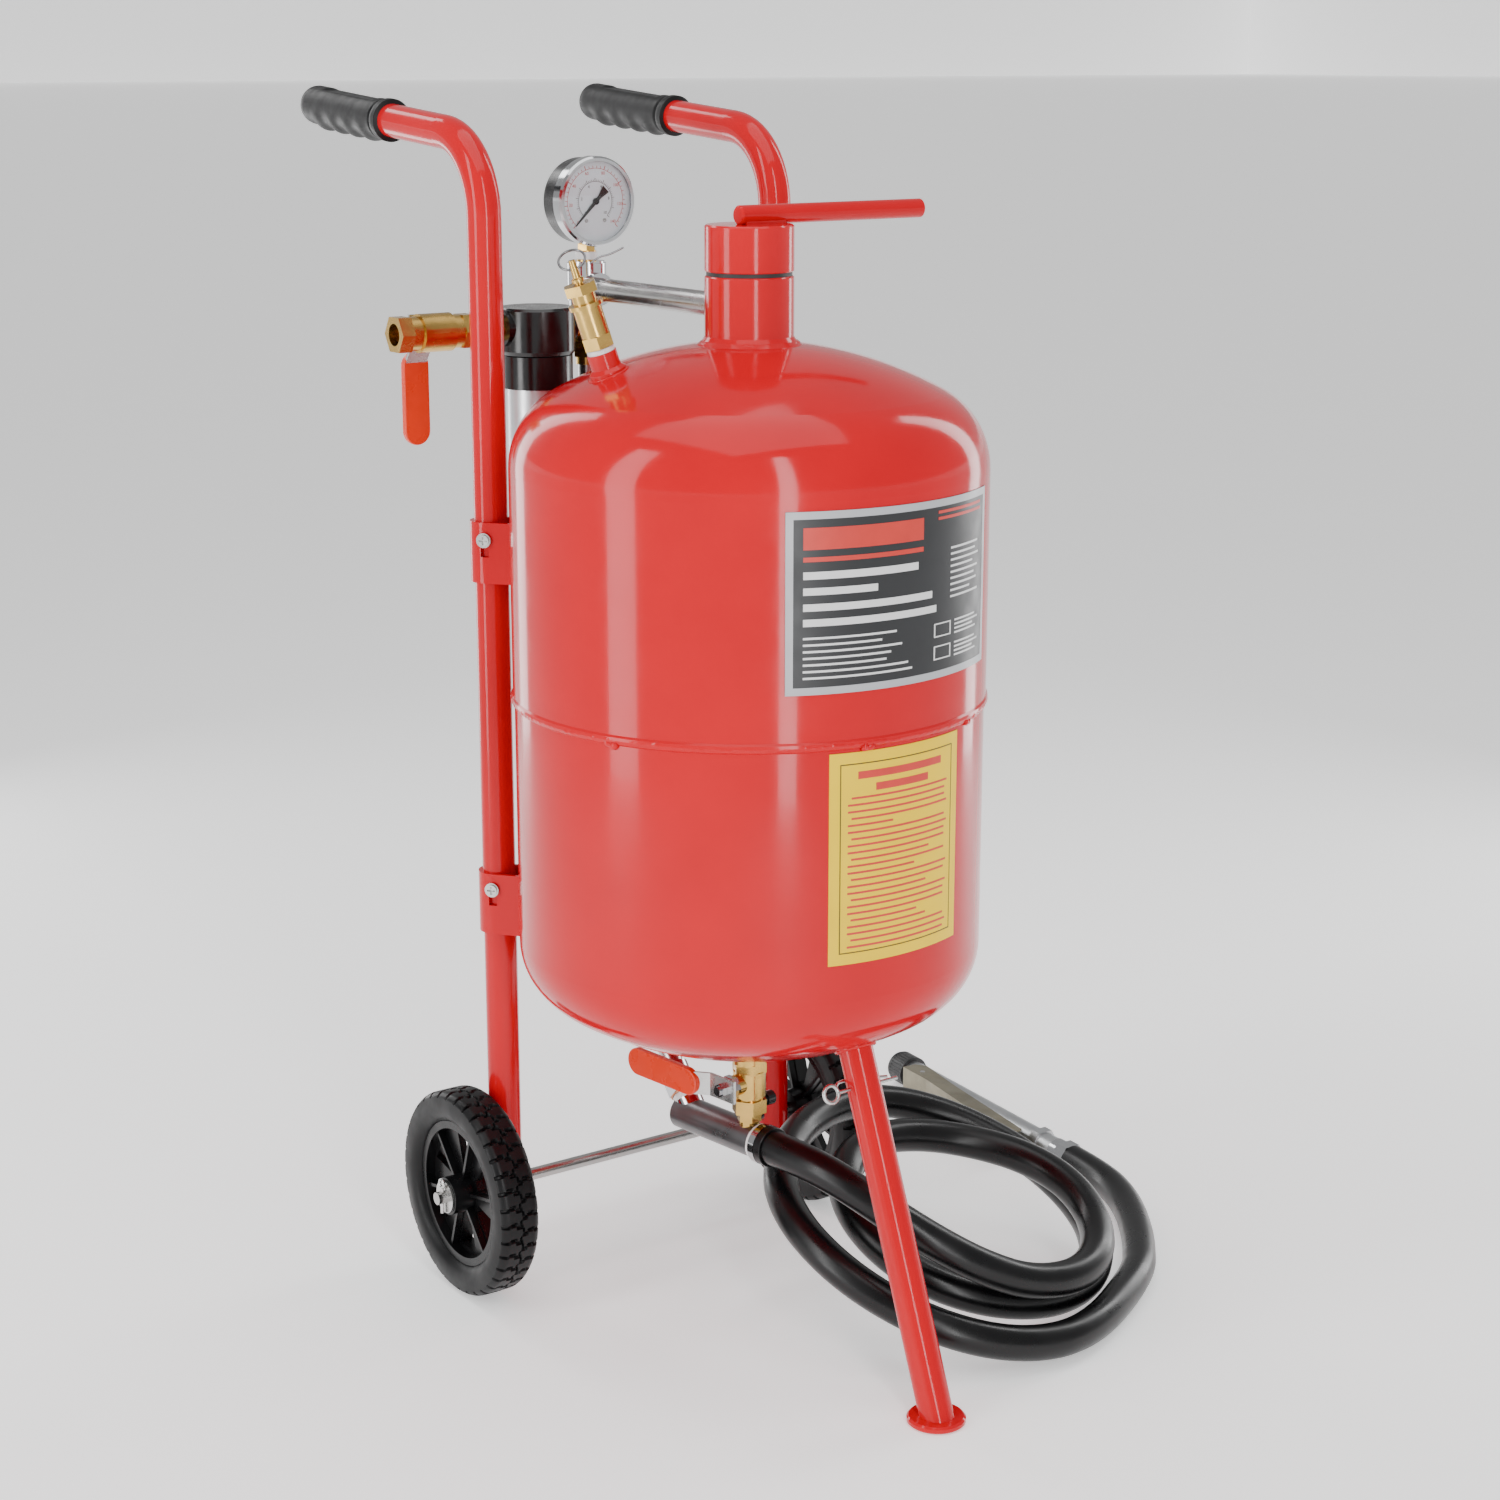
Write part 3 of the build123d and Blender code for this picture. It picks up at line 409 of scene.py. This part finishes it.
def above_tank(p):
    """How far a point in mm is outside the tank's skin."""
    r = math.hypot(p[0], p[1])
    if p[2] > SEAM_Z:
        sign, radius, knuckle, crown = 1, TANK_R, TOP_KNUCKLE_R, TOP_CROWN_R
        knuckle_z, centre_z = TOP_KNUCKLE_Z, TOP_CENTRE_Z
    else:
        sign, radius, knuckle, crown = -1, LOWER_R, LOW_KNUCKLE_R, LOW_CROWN_R
        knuckle_z, centre_z = LOW_KNUCKLE_Z, LOW_CENTRE_Z
    height = sign * (p[2] - knuckle_z)
    if height <= 0:
        return r - radius
    lean_r, lean_z = radius - knuckle, sign * (knuckle_z - centre_z)
    if r * lean_z <= (height + lean_z) * lean_r:
        return math.hypot(r, sign * (p[2] - centre_z)) - crown
    return math.hypot(r - lean_r, height) - knuckle


def tank_normal(p):
    """Way out of the tank's skin near a point in mm."""
    step, here = 0.2, above_tank(p)
    return Vector([above_tank(Vector(p) + Vector(d) * step) - here for d in ((1, 0, 0), (0, 1, 0), (0, 0, 1))])


def joint_line(origin, direction, radius, reach, count):
    """Where a round tube that points away from the tank meets its skin."""
    place, line = axes(origin, direction), []
    for i in range(count):
        angle = 2 * math.pi * i / count
        x, y = radius * math.cos(angle), radius * math.sin(angle)
        low, high = -reach, reach
        for _ in range(30):
            middle = (low + high) / 2
            inside = above_tank(place @ Vector((x, y, middle))) < 0
            low, high = (middle, high) if inside else (low, middle)
        line.append(place @ Vector((x, y, low)))
    return line


def weld_round(name, origin, direction, radius, size, reach, seed):
    line = joint_line(origin, direction, radius + size * 0.3, reach, max(48, int(radius * 4)))
    bead(name, line, [tank_normal(p) for p in line], size, seed)


RELIEF_BEARING, RELIEF_TILT, RELIEF_OUT = math.radians(165.5), math.radians(18), 106.5
RELIEF_DIR = Vector((
    math.sin(RELIEF_TILT) * math.cos(RELIEF_BEARING),
    math.sin(RELIEF_TILT) * math.sin(RELIEF_BEARING),
    math.cos(RELIEF_TILT),
))
RELIEF_FOOT = Vector((
    RELIEF_OUT * math.cos(RELIEF_BEARING),
    RELIEF_OUT * math.sin(RELIEF_BEARING),
    TOP_CENTRE_Z + math.sqrt(TOP_CROWN_R**2 - RELIEF_OUT**2),
))
LEG_TILT = math.radians(21.9)
LEG_DIR = Vector((0, -math.sin(LEG_TILT), -math.cos(LEG_TILT)))
LEG_TOP = Vector((0, -137, 248))


def make_welds():
    count = 720
    ways_out = [Vector((math.cos(a), math.sin(a), 0)) for a in (2 * math.pi * i / count for i in range(count))]
    centres = [
        way * (TANK_R - 0.4) + Vector((0, 0, SEAM_Z - 1.2 + 1.1 * noise.noise(Vector((3 * way.x, 3 * way.y, 2)))))
        for way in ways_out
    ]
    bead("seam_weld", centres, ways_out, 2.3, 1, ripple=0.3, pitch=6.5)
    # thicker spots where a pass of the seam was started again: bearing in degrees and size
    for i, (bearing, size) in enumerate(((-158, 3.0), (-97, 2.8), (-62, 2.4), (-20, 2.8), (75, 2.6))):
        a, radius = math.radians(bearing), TANK_R - 0.1
        spot = [
            Vector((radius * math.cos(a + t), radius * math.sin(a + t), SEAM_Z - 2.5 - 2.2 * math.cos(t * 60)))
            for t in (k * 0.007 - 0.024 for k in range(8))
        ]
        way = (math.cos(a), math.sin(a), 0)
        bead(f"seam_blob_{i + 1}", spot, [way] * len(spot), size, i + 11, ripple=0.5, closed=False)
    weld_round("neck_weld", (0, 0, 700), (0, 0, 1), 32.3, 3.0, 80, 2)
    weld_round("relief_weld", RELIEF_FOOT, RELIEF_DIR, 13.5, 1.6, 14, 3)
    weld_round("leg_weld", LEG_TOP, LEG_DIR, 12.7, 2.4, 60, 4)
    weld_round("outlet_weld", (0, 0, 240), (0, 0, -1), 17.0, 1.8, 60, 5)


make_welds()


# ------------------------------------------------------------------ wheels
def make_tyre(name, node, side, body):
    """Solid tyre: walls that roll into the wheel's dish, and two staggered rows of tread blocks."""
    blocks, steps, depth = 38, 16, 3.0
    groove, ramp, bend = 0.07, 0.05, 0.045  # in shares of a block: half a gap, its slope; half the middle groove
    half = WHEEL_W / 2
    wall = [(58.2, 0.62), (59.2, 0.74), (61, 0.86), (63.5, 0.95), (67, 1.0), (71, 1.0), (75, 0.975), (77.4, 0.95)]
    lanes = [0.94 - 1.88 * k / 30 for k in range(31)]
    rows = []
    for i in range(blocks * steps):
        turn = i / steps
        angle = 2 * math.pi * i / (blocks * steps)
        row = [(r, half * w) for r, w in wall]
        for u in lanes:
            step_over = 0.1 * (1 if 0.3 < abs(u) < 0.62 else -1 if abs(u) <= 0.3 else 0)
            phase = (turn + (0.5 if u < 0 else 0) + step_over) % 1.0
            gap = min(phase, 1 - phase)
            cut = 1.0 if gap < groove else max(0.0, 1 - (gap - groove) / ramp)
            middle = 0.07 * (1 if (turn + 0.25) % 1.0 < 0.5 else -1)
            if abs(u - middle) < bend:
                cut = 1.0
            shoulder = max(0.0, abs(u) - 0.6) / 0.34
            crown = WHEEL_R - 0.3 * u * u - 3.2 * shoulder**2
            row.append((crown - depth * cut * (1 - 0.35 * shoulder), half * u))
        row += [(r, -half * w) for r, w in reversed(wall)]
        rows.append([
            at(side * (WHEEL_X + w), WHEEL_Y + r * math.cos(angle), WHEEL_Z + r * math.sin(angle)) for r, w in row
        ])
    points, faces = solid(rows, closed=True)
    if side < 0:
        faces = [f[::-1] for f in faces]
    tyre = mesh_piece(name, points, faces, "tyre_rubber", body, "tyre_rubber", sharp=40)
    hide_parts(node)


make_tyre("tread_left", "tyre_left", -1, "wheel_left")
make_tyre("tread_right", "tyre_right", 1, "wheel_right")


# ------------------------------------------------------------------ handle grips
def grip_radius(w):
    """Radius without the swells, w mm from the open end: collar, groove, sleeve, dome."""
    if w < 8.5:
        return 16.3 - (0.8 if w < 0.5 else 0) - 0.6 * max(0, (w - 6.5) / 2)
    if w < 10.5:
        return 14.4
    if w > 122:
        return 15.2 * math.sqrt(max(0.0, 1 - ((w - 122) / 14.2) ** 2.6))
    return 15.2


def make_grip(name, node, side):
    """Moulded grip: collar, flat panel on top, four finger swells below, domed end."""
    length, around = 136.0, 72
    swells_from, swells_to, swell_pitch, swell_height = 12, 116, 25.0, 3.0
    panel_from, panel_to, panel_half, panel_height = 20, 104, 10.2, 13.4
    handle = Vector((0, HANDLE_Y - POST_Y, HANDLE_Z - POST_Z)).normalized()
    end = Vector((side * HANDLE_X, HANDLE_Y, HANDLE_Z))
    place = axes(end - handle * (length - 8), handle, side=(-1, 0, 0))
    stations = [0, 0.6, 1.6, 4, 6.2, 7.4, 8.6, 9.6] + [10 + k * 1.6 for k in range(72)]
    stations += [126.5, 128.5, 130.5, 132.3, 134, 135.2, 135.8]
    rows = []
    for w in stations:
        fade = min(1, (w - swells_from) / 6, (swells_to - w) / 6)
        wave = 0.5 + 0.5 * math.cos(2 * math.pi * (w - 27) / swell_pitch)
        row = []
        for k in range(around):
            angle = 2 * math.pi * k / around
            x, y = math.cos(angle), math.sin(angle)
            swell = swell_height * max(0.0, -y) ** 1.5 * wave * fade if swells_from < w < swells_to else 0.0
            r = grip_radius(w) + swell
            px, py = r * x, r * y
            if panel_from < w < panel_to and py > 0 and abs(px) < panel_half:
                edge = min(1.0, (w - panel_from) / 1.6, (panel_to - w) / 1.6, (panel_half - abs(px)) / 0.8)
                py = py - edge * max(0.0, py - panel_height)
            row.append(at_point(place @ Vector((px, py, w))))
        rows.append(row)
    grip = mesh_piece(name, *solid(rows), "black_grip", "base", "black_grip", sharp=38)
    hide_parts(node)


make_grip("handle_grip_left", "grip_left", -1)
make_grip("handle_grip_right", "grip_right", 1)


# ------------------------------------------------------------------ plates on the tank
INK = 0.12  # thickness of print


def tank_patch(radius, thick, bearing, heights):
    """Thin curved patch on the tank between two bearings in degrees and two heights in mm."""
    count = max(2, int(abs(bearing[1] - bearing[0]) / 2) + 1)
    section = [(radius, heights[0]), (radius + thick, heights[0]), (radius + thick, heights[1]), (radius, heights[1])]
    rows = []
    for i in range(count + 1):
        a = math.radians(bearing[0] + (bearing[1] - bearing[0]) * i / count)
        rows.append([at(r * math.cos(a), r * math.sin(a), z) for r, z in section])
    return solid(rows)


def bars(radius, left, width, top, rows):
    """Blank bars in place of print: (drop, height, start, share of the width)."""
    made = []
    for drop, height, start, share in rows:
        a = left + width * start
        made.append(tank_patch(radius, INK, (a, a + width * share), (top - drop - height, top - drop)))
    return made


def print_on_tank(name, patches, finish, slot):
    mesh_piece(name, *join(patches), finish, "base", slot)


def make_name_plate():
    left, right, low, high = -117.0, -53.0, 530.0, 656.0
    face = TANK_R + 0.6
    line, edge, film = 5.2, 1.75, 0.15  # border in mm along top and bottom, in degrees at the sides
    print_on_tank("name_plate_border", [
        tank_patch(face, film, (left, right), (high - line, high)),
        tank_patch(face, film, (left, right), (low, low + line)),
        tank_patch(face, film, (left, left + edge), (low + line, high - line)),
        tank_patch(face, film, (right - edge, right), (low + line, high - line)),
    ], "plate_border", "plate_grey")
    top = high - 11
    title = bars(face, left + 4, 31, top, [(0, 15, 0, 1.0), (20, 3.2, 0, 1.0)])
    title += bars(face, left + 40, 20, top + 3, [(0, 2.0, 0, 1.0), (4.4, 2.0, 0, 1.0)])
    print_on_tank("name_plate_title", title, "print_red", "plate_grey")
    big = [(30, 5.2, 0, 0.95), (41, 5.0, 0, 0.58), (52, 5.0, 0, 1.1), (62.5, 5.0, 0, 1.15)]
    small = [(75 + 4.6 * k, 1.5, 0, share) for k, share in enumerate((0.75, 0.62, 0.8, 0.7, 0.66, 0.86, 0.9))]
    beside = [
        (24 + 4.3 * k, 1.5, 0, share)
        for k, share in enumerate((0.9, 0.8, 0.94, 0.7, 0.9, 0.76, 0.86, 0.6, 0.92))
    ]
    white = bars(face, left + 4, 31, top, big + small) + bars(face, left + 45, 15, top, beside)
    for drop in (76, 92):  # an empty box with four short lines beside it
        white += bars(face, left + 39, 6.4, top, [(drop, 0.9, 0, 1), (drop + 9, 0.9, 0, 1)])
        white += bars(face, left + 39, 6.4, top, [(drop, 9.9, 0, 0.07), (drop, 9.9, 0.93, 0.07)])
        short = [(drop + 3 * k, 1.3, 0, share) for k, share in enumerate((0.8, 0.95, 0.7, 0.85))]
        white += bars(face, left + 47, 13, top, short)
    print_on_tank("name_plate_lines", white, "print_white", "plate_grey")


def make_caution_plate():
    left, right, low, high = -106.5, -67.0, 334.0, 487.0
    face = LOWER_R + 0.6
    a, b, c, d = left + 2.6, right - 2.6, low + 8, high - 8
    line, edge = 0.8, 0.26
    print_on_tank("caution_plate_frame", [
        tank_patch(face, INK, (a, b), (d - line, d)),
        tank_patch(face, INK, (a, b), (c, c + line)),
        tank_patch(face, INK, (a, a + edge), (c, d)),
        tank_patch(face, INK, (b - edge, b), (c, d)),
    ], "print_dark", "plate_yellow")
    lines = [
        (4.9 * k, 1.5, 0.0 if k % 3 else 0.03, 0.97 - 0.22 * ((k * 7) % 5 == 3) - 0.35 * ((k * 5) % 7 == 6))
        for k in range(23)
    ]
    titles = bars(face, a + 4, b - a - 8, d - 6, [(0, 5.4, 0.02, 0.96), (9.5, 5.4, 0.2, 0.6)])
    titles += bars(face, a + 2, b - a - 4, d - 24, lines)
    print_on_tank("caution_plate_lines", titles, "print_red", "plate_yellow")


make_name_plate()
make_caution_plate()


# ------------------------------------------------------------------ gauge face
SWEEP = 135  # the scales run this many degrees to either side of straight up
BLOCK_FACES = ((4, 6, 7, 5), (0, 1, 3, 2), (0, 4, 5, 1), (2, 3, 7, 6), (0, 2, 6, 4), (1, 5, 7, 3))


def dial_point(radius, degrees, lift=0.0):
    """Degrees clockwise from straight up, seen from the front."""
    a = math.radians(degrees)
    return GAUGE_AT + Vector((radius * math.sin(a), 4.7 - lift, radius * math.cos(a)))


def ticks(radius_in, radius_out, count, wide, extra):
    """Marks of a scale; every fifth is longer by extra and half as wide again."""
    blocks = []
    for i in range(count + 1):
        angle = -SWEEP + 2 * SWEEP * i / count
        long = i % 5 == 0
        half = wide * (1.5 if long else 1.0) / 2
        across = Vector((math.cos(math.radians(angle)), 0, -math.sin(math.radians(angle))))
        radii = (radius_in, radius_out + (extra if long else 0))
        corners = [dial_point(r, angle) + across * half * s for r in radii for s in (-1, 1)]
        front = [c - Vector((0, INK, 0)) for c in corners]
        blocks.append(([at_point(c) for c in corners + front], BLOCK_FACES))
    return join(blocks)


def arc_band(radius, width, steps=90):
    """The thin arc that the marks stand on."""
    section = ((radius, 0), (radius, INK), (radius + width, INK), (radius + width, 0))
    angles = [-SWEEP + 2 * SWEEP * i / steps for i in range(steps + 1)]
    return solid([[at_point(dial_point(r, angle, lift)) for r, lift in section] for angle in angles])


def numeral(text, radius, degrees, size):
    """A number on the dial, as thin solid letters."""
    curve = bpy.data.curves.new("numeral", "FONT")
    curve.body, curve.size, curve.align_x, curve.align_y = text, size * MM, "CENTER", "CENTER"
    curve.extrude = INK / 2 * MM
    holder = bpy.data.objects.new("numeral", curve)
    mesh = bpy.data.meshes.new_from_object(holder)
    # set so that the letters stand clear of the dial
    centre = at_point(dial_point(radius, degrees, 0.08))
    points = [centre + Vector((v.co.x, -v.co.z, v.co.y)) for v in mesh.vertices]
    faces = [tuple(p.vertices) for p in mesh.polygons]
    bpy.data.objects.remove(holder)
    bpy.data.meshes.remove(mesh)
    bpy.data.curves.remove(curve)
    return points, faces


def make_gauge():
    red = [ticks(25.2, 27.0, 35, 0.35, 1.2), arc_band(24.9, 0.35)]
    red += [numeral(str(20 * k), 22.3, -SWEEP + 2 * SWEEP * k / 7, 3.4) for k in range(8)]
    mesh_piece("dial_scale_red", *join(red), "print_red", "base", "dial_card")
    black = [ticks(15.2, 16.6, 50, 0.28, 1.0), arc_band(14.9, 0.3)]
    black += [numeral(str(2 * k), 12.4, -SWEEP + 2 * SWEEP * k / 5, 3.2) for k in range(6)]
    mesh_piece("dial_scale_black", *join(black), "needle_black", "base", "dial_card")
    forward = (0, -1, 0)
    screw = [(0.001, 0), (1.5, 0), (1.5, 0.4), (1.1, 0.75), (0.001, 0.85)]
    for name, x in (("dial_screw_left", -8.2), ("dial_screw_right", 8.2)):
        place = axes(GAUGE_AT + Vector((x, 4.75, -14.5)), forward)
        lathe(name, screw, place, "bare_steel", 24, slot="bare_steel")
    hub = [(0.001, 0), (2.4, 0), (2.4, 0.35), (1.7, 0.8), (0.001, 0.95)]
    place = axes(GAUGE_AT + Vector((0, 2.7, 0)), forward)
    lathe("needle_hub", hub, place, "needle_black", 32, body="pointer", slot="needle_black")


make_gauge()


# ------------------------------------------------------------------ small fittings
def ring_on(name, origin, direction, radii, span, finish, slot, wobble=0.0, segments=56):
    """Ring round a line from origin: inner and outer radius, and where it starts and ends along the line."""
    (inner, outer), (start, end) = radii, span
    edge = min(0.4, (end - start) * 0.25, (outer - inner) * 0.4)
    section = [
        (inner, start), (outer - edge, start), (outer, start + edge),
        (outer, end - edge), (outer - edge, end), (inner, end),
    ]
    lathe(name, section, axes(origin, direction), finish, segments, wobble, body="base", slot=slot)


def make_fittings():
    tape, chrome, brass, up = "thread_tape", "chrome_plate", "valve_brass", (0, 0, 1)
    ring_on("gauge_tape", (0, COLUMN_Y, 0), up, (7.2, 8.3), (797.2, 803.2), tape, chrome, 0.5)
    ring_on("relief_tape", RELIEF_FOOT, RELIEF_DIR, (8.8, 9.9), (15.9, 19.6), tape, brass, 0.5)
    # the air line leaves the mixing tube and climbs at 44 degrees towards the gauge's column
    air_from = MIX_AT + MIX_DIR * -62
    run = math.hypot(air_from.x, COLUMN_Y - air_from.y)
    corner = Vector((0, COLUMN_Y, MIX_AT.z + run * math.tan(math.radians(44))))
    air_dir = corner - air_from
    ring_on("union_tape", air_from, air_dir, (10.2, 11.4), (15.5, 20.5), tape, chrome, 0.5)
    ring_on("union_copper_ring", air_from, air_dir, (10.2, 12.6), (20.6, 22.0), "copper_ring", brass)
    ring_on("mouth_seal", MIX_AT, MIX_DIR, (13.5, 14.6), (10.6, 13.8), tape, chrome, 0.25)
    ring_on("hose_cuff", MIX_AT, MIX_DIR, (13.3, 15.4), (20.1, 27.0), "hose_rubber", "hose_rubber", 0.15)
    stem_dir = (-math.cos(YAW), -math.sin(YAW), 0)
    ring_on("outlet_packing_nut", (0, 0, 186), stem_dir, (5.4, 9.4), (16.4, 22.6), chrome, brass, segments=6)
    # free wire end of the pull ring, and the second prong of the leg's spring clip
    tip = RELIEF_FOOT + RELIEF_DIR * 77
    free_end = ((10, -4, 4), (16, -6, 9), (24, -9, 10), (33, -12, 15))
    wire("relief_ring_end", [tip + Vector(p) for p in free_end], 0.7, "satin_steel", "relief_pull")
    clip = LEG_TOP + LEG_DIR * 22
    prong = ((-24, 1, 2), (-19, 9, 2), (-10, 15.2, 1), (0, 15.6, 0), (10, 15.4, 0), (18, 9, 0), (27, 8, -1))
    wire("leg_clip_prong", [clip + Vector(p) for p in prong], 1.2, "zinc_steel")


make_fittings()


# ------------------------------------------------------------------ studio
def strip(name, bearing, distance, width, height, power, low=0.0):
    """Tall soft box standing round the object, facing it; metres and watts."""
    a = math.radians(bearing)
    light = bpy.data.lights.new(name, "AREA")
    light.shape, light.size, light.size_y, light.energy = "RECTANGLE", width, height, power
    lamp = bpy.data.objects.new(name, light)
    lamp.location = (distance * math.cos(a), distance * math.sin(a), low + height / 2)
    lamp.rotation_euler = Vector((-math.cos(a), -math.sin(a), 0)).to_track_quat("-Z", "Y").to_euler()
    lamp.visible_camera = False
    bpy.context.scene.collection.objects.link(lamp)
    return lamp


def make_studio():
    floor = bpy.data.meshes.new("floor")
    size, rim, level = 80.0, 6.0, -0.0006  # half width, turned-up edge and height of the paper, in metres
    corners = [(-size, -size), (size, -size), (size, size), (-size, size)]
    floor.from_pydata(
        [(x, y, level) for x, y in corners] + [(x, y, rim) for x, y in corners],
        [],
        [(0, 1, 2, 3)] + [(k, k + 4, (k + 1) % 4 + 4, (k + 1) % 4) for k in range(4)],
    )
    plane = bpy.data.objects.new("floor", floor)
    bpy.context.scene.collection.objects.link(plane)
    paper = Finish("floor_paper", (0.93, 0.93, 0.93), 0.7).drift(2, 0.01).gloss(3, 0.03).bump(300, 0.02)
    paper.shader.inputs["Emission Color"].default_value = (1, 1, 1, 1)
    paper.shader.inputs["Emission Strength"].default_value = 0.5
    floor.materials.append(paper.material)
    world = bpy.data.worlds.new("studio")
    bpy.context.scene.world = world
    world.use_nodes = True
    world.node_tree.nodes["Background"].inputs["Color"].default_value = (1, 1, 1, 1)
    world.node_tree.nodes["Background"].inputs["Strength"].default_value = 0.48
    around, tall = 1.9, 2.6
    strip("front_strip", -107, around, 0.26, tall, 25)
    strip("left_strip", -182, around, 0.5, tall, 30)
    strip("right_strip", 2, around, 0.4, tall, 22)
    strip("rear_strip", 100, around, 0.4, tall, 17)
    top = strip("top_box", -120, 0.4, 2.0, 2.0, 26, low=1.6)
    top.rotation_euler = (0, 0, 0)


make_studio()

# ------------------------------------------------------------------ finish
bpy.context.view_layer.update()
